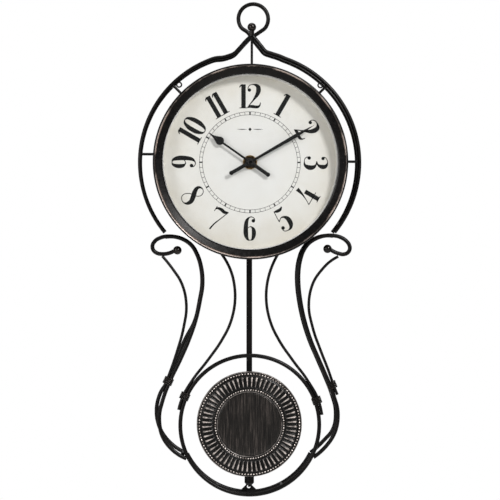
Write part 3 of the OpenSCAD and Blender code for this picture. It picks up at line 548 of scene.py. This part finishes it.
# %% Numerals
numeral_h = 0.0252
numeral_r = 0.0692
numerals = Print("dial_numerals")
for hour, digits in hours.items():
    around = math.radians(30 * hour)
    turn = around + (math.pi if 4 <= hour <= 8 else 0.0)
    centre = (numeral_r * math.sin(around), numeral_r * math.cos(around))

    def put(x, z, y, turn=turn, centre=centre, offset=0.0):
        u, v = (x + offset) * numeral_h, (z - 0.5) * numeral_h
        px = centre[0] + u * math.cos(turn) + v * math.sin(turn)
        pz = centre[1] - u * math.sin(turn) + v * math.cos(turn)
        return Vector((dial_mid.x + px, dial_face - y, dial_mid.z + pz))

    for digit, offset in digits:
        for stroke in digit["strokes"]:
            numerals.stroke(stroke, lambda x, z, y, o=offset: put(x, z, y, offset=o))
        for x, z, r in digit["drops"]:
            numerals.drop(x, z, r, lambda x, z, y, o=offset: put(x, z, y, offset=o))
numerals.done()

# %% [markdown]
# ## The minute track
# Two hairline circles with a tick at each minute and a bold one at each five. They are rings
# and short bars of the same ink.

# %% Minute track
def on_dial(x, z, y):
    return Vector((dial_mid.x + x, dial_face - y, dial_mid.z + z))


track = Print("minute_track")
track_radii = (0.0497, 0.0529)
half_line = 0.0002
half_tick = 0.00022
half_five_tick = 0.0007
rim = [math.radians(3 * k) for k in range(121)]
for radius in track_radii:
    inside = radius - half_line
    outside = radius + half_line
    track.plate([(inside * math.sin(a), inside * math.cos(a)) for a in rim],
                [(outside * math.sin(a), outside * math.cos(a)) for a in rim], on_dial)
for minute in range(60):
    a = math.radians(6 * minute)
    half = half_five_tick if minute % 5 == 0 else half_tick
    side = Vector((math.cos(a), -math.sin(a))) * half
    ends = [Vector((math.sin(a), math.cos(a))) * r for r in track_radii]
    track.plate([tuple(e - side) for e in ends], [tuple(e + side) for e in ends], on_dial)
track.done()

# %% [markdown]
# ## A small ornament
# Dials of this kind carry a maker's line under the twelve. Here a plain lozenge between two
# fine tapered bars takes its place: it belongs to nobody and says nothing.

# %% Ornament
ornament = Print("dial_ornament")
line_z = 0.0345
for side in (-1, 1):
    ornament.stroke([(side * 0.0032, line_z, 0.00012), (side * 0.008, line_z, 0.0007),
                     (side * 0.0135, line_z, 0.00012)], on_dial, 0.0001)
ornament.plate([(-0.0018, line_z), (0.0, line_z + 0.0019), (0.0018, line_z)],
               [(-0.0018, line_z - 0.00001), (0.0, line_z - 0.0019), (0.0018, line_z - 0.00001)], on_dial)
ornament.done()

# %% [markdown]
# ## The hands
# The hands are stamped from thin sheet: the press leaves them a touch crowned, with broad tails,
# a leaf near the minute hand's tip and a round spade on the hour hand. Each is one closed sheet
# with a hole for its arbor. A row of widths along the hand gives the outline, and the edges sit
# a little lower than the middle.

# %% Stamped hands
def half_width(v, outline, discs):
    """Half the hand's width at a place along it, in millimetres."""
    wide = 0.02
    for (v0, w0), (v1, w1) in zip(outline, outline[1:]):
        if v0 <= v <= v1:
            wide = max(wide, w0 + (w1 - w0) * (v - v0) / (v1 - v0))
    for centre, r in discs:
        if abs(v - centre) < r:
            wide = max(wide, math.sqrt(r * r - (v - centre) ** 2))
    return wide


def stamped_hand(name, node, body, angle, outline, discs, hole):
    """A crowned sheet in place of a packed hand; widths run from the tail to the tip."""
    low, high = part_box(node)
    hub = middle("hand_cap")
    turn = math.radians(angle)
    depth = high.y - low.y
    tail = min(c - r for c, r in discs)
    tip = outline[-1][0]
    count = round((tip - tail) / 0.25)
    sheet = bmesh.new()

    def spot(u, v, y):
        x = u * math.cos(turn) + v * math.sin(turn)
        z = -u * math.sin(turn) + v * math.cos(turn)
        return sheet.verts.new((hub.x + x / 1000, y, hub.z + z / 1000))

    rows = []
    for k in range(count + 1):
        v = tail + (tip - tail) * k / count
        w = half_width(v, outline, discs)
        gap = math.sqrt(max(hole * hole - v * v, 0.0))
        inner = None
        row = {}
        for side in (-1, 1):
            if gap or inner is None:
                inner = (spot(side * gap, v, low.y), spot(side * gap, v, high.y))
            shoulder = gap + (w - gap) * 0.65
            row[side] = [inner[0], spot(side * shoulder, v, low.y + 0.06 * depth),
                         spot(side * w, v, low.y + 0.4 * depth), spot(side * w, v, high.y), inner[1]]
        rows.append((gap, row))
    for (gap_a, a), (gap_b, b) in zip(rows, rows[1:]):
        for side in (-1, 1):
            for i in range(4):
                sheet.faces.new((a[side][i], a[side][i + 1], b[side][i + 1], b[side][i]))
            if gap_a or gap_b:
                sheet.faces.new((a[side][4], a[side][0], b[side][0], b[side][4]))
    for _, row in (rows[0], rows[-1]):
        for side in (-1, 1):
            sheet.faces.new(row[side])
    bmesh.ops.recalc_face_normals(sheet, faces=sheet.faces)
    piece = made(name, sheet)
    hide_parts(node)
    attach(piece, body)


minute_at = 60
hour_at = 305
arbor_r = 1.5
pipe_r = 2.6
tail_v = -22.7
knob = (tail_v, 2.3)
stamped_hand("minute_sheet", "minute_hand", "minute", minute_at,
             [(tail_v, 1.9), (-4, 1.9), (4, 1.25), (54.6, 2.0), (67.1, 1.0), (78, 0.02)],
             [knob, (0, 3.2)], arbor_r)
stamped_hand("hour_sheet", "hour_hand", "hour", hour_at,
             [(tail_v, 1.9), (-4, 1.9), (4, 1.15), (38.7, 1.05), (40.3, 3.9), (46.2, 1.4), (53, 0.02)],
             [knob, (0, 3.9), (38.7, 4.4)], pipe_r)
dress(hand_black, "minute_sheet", "hour_sheet")

# %% [markdown]
# ## The bob's pressed front
# The real bob is a thin pressed shell: a ring of about sixty rounded flutes between two rows
# of small beads, round a plain disc brushed up and down. A surface that is turned like a plate
# and then raised by a wave at each flute gives the flutes soft ends. The beads are separate
# little domes, because they stand on the metal with a crisp edge.

# %% Pressed shell
flutes = 60
flute_from = 38.6
flute_long = 11.4
shell_front = bob_low.y
heights = [(0.0, 0.0010), (32.6, 0.0010), (33.0, 0.0018), (33.9, 0.0022), (35.0, 0.0016), (37.2, 0.0016),
           (37.8, 0.0009), (38.5, 0.0016), (44.0, 0.0014), (50.2, 0.0016), (51.0, 0.0022), (51.4, 0.0026),
           (54.2, 0.0026), (54.8, 0.0022), (55.35, 0.0034), (55.45, 0.006)]


def turned(r):
    """Depth of the turned form at a radius in millimetres."""
    for (r0, h0), (r1, h1) in zip(heights, heights[1:]):
        if r <= r1:
            t = (r - r0) / (r1 - r0)
            return h0 + (h1 - h0) * t * t * (3 - 2 * t)
    return heights[-1][1]


def flute(r, a):
    """How far a flute stands out: a rounded bar, wider outside than inside."""
    along = (r - flute_from) / flute_long
    if not 0.0 < along < 1.0:
        return 0.0
    ends = min(1.0, min(along / 0.18, (1 - along) / 0.14))
    ends = math.sqrt(max(0.0, 1 - (1 - ends) ** 2))
    wave = abs(((a * flutes / (2 * math.pi)) % 1.0) - 0.5) * 2
    across = math.sqrt(max(0.0, 1 - min(1.0, wave / 0.82) ** 2))
    return ends * across * (0.0011 + 0.0004 * along)


steps = flutes * 12
radii = [6, 12, 18, 24, 29, 32.2, 32.7, 33, 33.4, 33.9, 34.5, 35, 36, 37.2, 37.5, 37.8, 38.2, flute_from]
radii += [flute_from + flute_long * k / 26 for k in range(1, 27)]
radii += [50.2, 50.6, 51, 51.4, 52.5, 54.2, 54.6, 54.9, 55.2, 55.35, 55.45]
shell = bmesh.new()


def on_bob(r, a, y):
    """A place at a radius in millimetres and an angle round the bob's axis."""
    return Vector((bob_mid.x + r / 1000 * math.cos(a), y, bob_mid.z + r / 1000 * math.sin(a)))


def shell_ring(r, depth_at):
    """One ring of corners, as deep as depth_at says for each angle."""
    angles = [2 * math.pi * k / steps for k in range(steps)]
    return [shell.verts.new(on_bob(r, a, depth_at(a))) for a in angles]


def join_rings(inner, outer):
    for k in range(steps):
        n = (k + 1) % steps
        shell.faces.new((inner[k], outer[k], outer[n], inner[n]))


def close_ring(ring, y):
    """A fan of faces from a ring to the axis."""
    axis = shell.verts.new(on_bob(0.0, 0.0, y))
    for k in range(steps):
        shell.faces.new((axis, ring[k], ring[(k + 1) % steps]))


rings = [shell_ring(r, lambda a, r=r: shell_front + turned(r) - flute(r, a)) for r in radii]
close_ring(rings[0], shell_front + turned(0.0))
for inner, outer in zip(rings, rings[1:]):
    join_rings(inner, outer)
print("pressed front", len(shell.faces), "faces")

# %% [markdown]
# ## Closing the bob
# Behind the pressed front the shell turns over its rim and a plain dished back closes it. The
# real one would be two stampings crimped together at the rim, with the pendulum rod between.

# %% Bob back
back_rows = [(55.45, shell_front + 0.0074), (53.2, shell_front + 0.0086),
             (44.0, bob_high.y), (9.0, bob_high.y)]
last = rings[-1]
for r, y in back_rows:
    ring = shell_ring(r, lambda a, y=y: y)
    join_rings(last, ring)
    last = ring
close_ring(last, bob_high.y)
bmesh.ops.recalc_face_normals(shell, faces=shell.faces)
bob_shell = made("bob_shell", shell, smooth=True)
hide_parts("bob")
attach(bob_shell, "bob")

# %% [markdown]
# ## Rows of beads
# A row of small beads runs inside the bob's rim and another one round its plain middle. On the
# real bob they are raised by the same press stroke. Here each is a little ball, half sunk in
# the metal, because that keeps its edge crisp without a far finer shell.

# %% Bead rows
outer_row_r = 52.85
inner_row_r = 36.1
beads = bmesh.new()
for count, row_r, size, depth in ((108, outer_row_r, 0.00096, 0.0025), (84, inner_row_r, 0.0009, 0.0015)):
    for k in range(count):
        at = on_bob(row_r, 2 * math.pi * (k + 0.5) / count, shell_front + depth)
        bmesh.ops.create_uvsphere(beads, u_segments=10, v_segments=7, radius=size,
                                  matrix=Matrix.Translation(at))
bob_beads = made("bob_beads", beads, smooth=True)
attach(bob_beads, "bob")

# %% [markdown]
# ## Finish of the bob
# The bob carries the same dark coat, but its middle is brushed with upright strokes. The crests
# of the flutes and thin rings at its raised edges are pale, partly rubbed through and partly a
# painted highlight; the angle round the bob tells how near a point is to the crests, so these
# marks follow the pressed shape. Nobody rubs the back, which keeps the plain coat, and the beads get a
# painted highlight on top, partly rubbed through, and stay dark where they meet the shell.

# %% Rubbed bob with painted highlights
rubbed = Finish("bob_bronze", metallic=0.5)
rubbed.gloss(0.5)
away, around = rubbed.polar(tuple(bob_mid))
turns = rubbed.sum("FRACT", rubbed.sum("MULTIPLY", around, flutes / (2 * math.pi)))
off_crest = rubbed.sum("ABSOLUTE", rubbed.sum("SUBTRACT", turns, 0.5))
taper = rubbed.span(away, 0.3, 1.0, 0.0392, 0.0478)
# Mask of the flute crests: their pale colour is partly rub-through wear and partly a painted highlight.
crest = rubbed.sum("MULTIPLY", rubbed.span(rubbed.sum("DIVIDE", off_crest, taper), 1.0, 0.0, 0.05, 0.21),
                   rubbed.band(away, 0.0446, 0.0038, 0.002))
# Thin pale rings at the two raised edges: partly wear, partly painted highlight.
inner_edge = rubbed.sum("MULTIPLY", rubbed.band(away, 0.034, 0.0002, 0.0004), 0.25)
outer_edge = rubbed.sum("MULTIPLY", rubbed.band(away, 0.0551, 0.0002, 0.0004), 0.5)
edges = rubbed.sum("ADD", inner_edge, outer_edge)
strokes = rubbed.noise(1.0, 5.0, 0.65, rubbed.stretched((1500, 200, 45)))
base = rubbed.ramp(strokes, [(0.36, (0.006, 0.0054, 0.005)), (0.54, (0.02, 0.017, 0.015)),
                             (0.7, (0.115, 0.093, 0.083))])
flat = rubbed.span(away, 0.0, 1.0, 0.0325, 0.0335)
base = rubbed.mix(flat, base, (0.004, 0.0034, 0.003))
patch = rubbed.span(rubbed.noise(230.0, 4.0, 0.6), 0.2, 1.0, 0.38, 0.58)
wear_and_sheen = rubbed.sum("MULTIPLY", rubbed.sum("MAXIMUM", crest, edges), patch)
# The pale colour (0.86, 0.76, 0.7) is a painted highlight as well as rubbed-through metal.
rubbed.colour(rubbed.mix(wear_and_sheen, base, (0.86, 0.76, 0.7)))
rubbed.rough(strokes, 0.22, 0.38)
rubbed.bump(strokes, 0.00008, 0.7)
dress(rubbed, "bob_shell")
bob_shell.data.materials.append(bronze.material)
back_from = shell_front + 0.0062
for face in bob_shell.data.polygons:
    if face.center.y > back_from:
        face.material_index = 1
bead_bronze = Finish("bead_bronze", metallic=0.6)
reach, _ = bead_bronze.polar(tuple(bob_mid))
# The middle band of each bead row gets a painted highlight, partly metal rubbed through; the rest keeps
# the dark coat.
tops = bead_bronze.sum("MAXIMUM", bead_bronze.band(reach, outer_row_r / 1000, 0.0003, 0.0005),
                       bead_bronze.band(reach, inner_row_r / 1000, 0.0003, 0.0005))
# Colours of the painted highlight on the bead tops.
sheen_colour = bead_bronze.ramp(bead_bronze.noise(260.0, 4.0),
                        [(0.38, (0.3, 0.25, 0.22)), (0.6, (0.95, 0.86, 0.8))])
bead_bronze.colour(bead_bronze.mix(tops, (0.01, 0.008, 0.007), sheen_colour))
bead_bronze.rough(bead_bronze.noise(500.0, 3.0), 0.2, 0.35)
bead_bronze.bump(bead_bronze.noise(1800.0, 3.0), 0.00001, 0.4)
dress(bead_bronze, "bob_beads")

# %% [markdown]
# ## The stage
# A clock that hangs on a wall has nothing under it, so a plain pale floor lies well below. It is
# a wide disc with a faint unevenness, and only shows when the clock is looked at from above.

# %% Floor
floor_z = cad_low.z - 0.5
floor_r = 3.2
floor_sides = 48
sweep = bmesh.new()
floor_mid = sweep.verts.new((0.0, 0.0, floor_z))
floor_rim = []
for k in range(floor_sides):
    a = 2 * math.pi * k / floor_sides
    floor_rim.append(sweep.verts.new((floor_r * math.cos(a), floor_r * math.sin(a), floor_z)))
for k in range(floor_sides):
    sweep.faces.new((floor_mid, floor_rim[k], floor_rim[(k + 1) % floor_sides]))
floor = made("studio_floor", sweep)
pale = plain_finish("pale_floor", (0.8, 0.8, 0.79), (0.84, 0.84, 0.83), 0.0, (0.6, 0.75), 12.0)
dress(pale, "studio_floor")

# %% [markdown]
# ## The light
# The air behind is white to the eye, as in a studio, but lights the clock at less than a third
# of that, so that the dark coat stays dark in front of it. The key light is a soft box high on
# the right, which throws the hands' short shadows down to the left. A wide fill on the left
# opens the dark side of every rod, and a large one overhead lights the floor and the bezel's top.

# %% Lights
world = bpy.data.worlds.new("studio_air")
bpy.context.scene.world = world
world.use_nodes = True
air = world.node_tree.nodes["Background"]
air.inputs["Color"].default_value = (1.0, 1.0, 1.0, 1.0)
seen = world.node_tree.nodes.new("ShaderNodeLightPath")
level = world.node_tree.nodes.new("ShaderNodeMapRange")
level.inputs["To Min"].default_value = 0.3
level.inputs["To Max"].default_value = 1.0
world.node_tree.links.new(seen.outputs["Is Camera Ray"], level.inputs["Value"])
world.node_tree.links.new(level.outputs["Result"], air.inputs["Strength"])
aim = Vector((0.0, 0.0, -0.26))


def soft_box(name, at, size, power):
    data = bpy.data.lights.new(name, "AREA")
    data.shape = "RECTANGLE"
    data.size, data.size_y = size
    data.energy = power
    lamp = bpy.data.objects.new(name, data)
    bpy.context.scene.collection.objects.link(lamp)
    lamp.location = at
    lamp.rotation_mode = "QUATERNION"
    lamp.rotation_quaternion = (aim - Vector(at)).to_track_quat("-Z", "Y")
    print(name, power, "W")


soft_box("key_light", (1.0, -1.7, 0.9), (0.5, 0.5), 36)
soft_box("fill_light", (-1.5, -1.5, 0.2), (0.7, 1.2), 14)
soft_box("top_light", (0.0, 0.4, 3.0), (3.0, 3.0), 70)

# %% [markdown]
# ## The camera
# The view is straight on and level, from a little to the left, far enough away that the two
# layers of rod nearly cover each other. The lens is long, about that of a portrait lens, so
# that the frame's round shapes stay round.

# %% Camera
turn = math.radians(-2.6)
front = Vector((math.sin(turn), -math.cos(turn), 0.0))
target = Vector((dial_mid.x + 0.0001, -0.026, -0.2587))
distance = 2.0
camera_data = bpy.data.cameras.new("camera")
camera_data.sensor_width = 36.0
camera_data.lens = 36.0 * distance / 0.5235
camera = bpy.data.objects.new("camera", camera_data)
bpy.context.scene.collection.objects.link(camera)
camera.location = target + front * distance
camera.rotation_mode = "QUATERNION"
camera.rotation_quaternion = (-front).to_track_quat("-Z", "Y")
camera_data.clip_end = 50.0
bpy.context.scene.camera = camera
bpy.context.scene.view_settings.view_transform = "Standard"
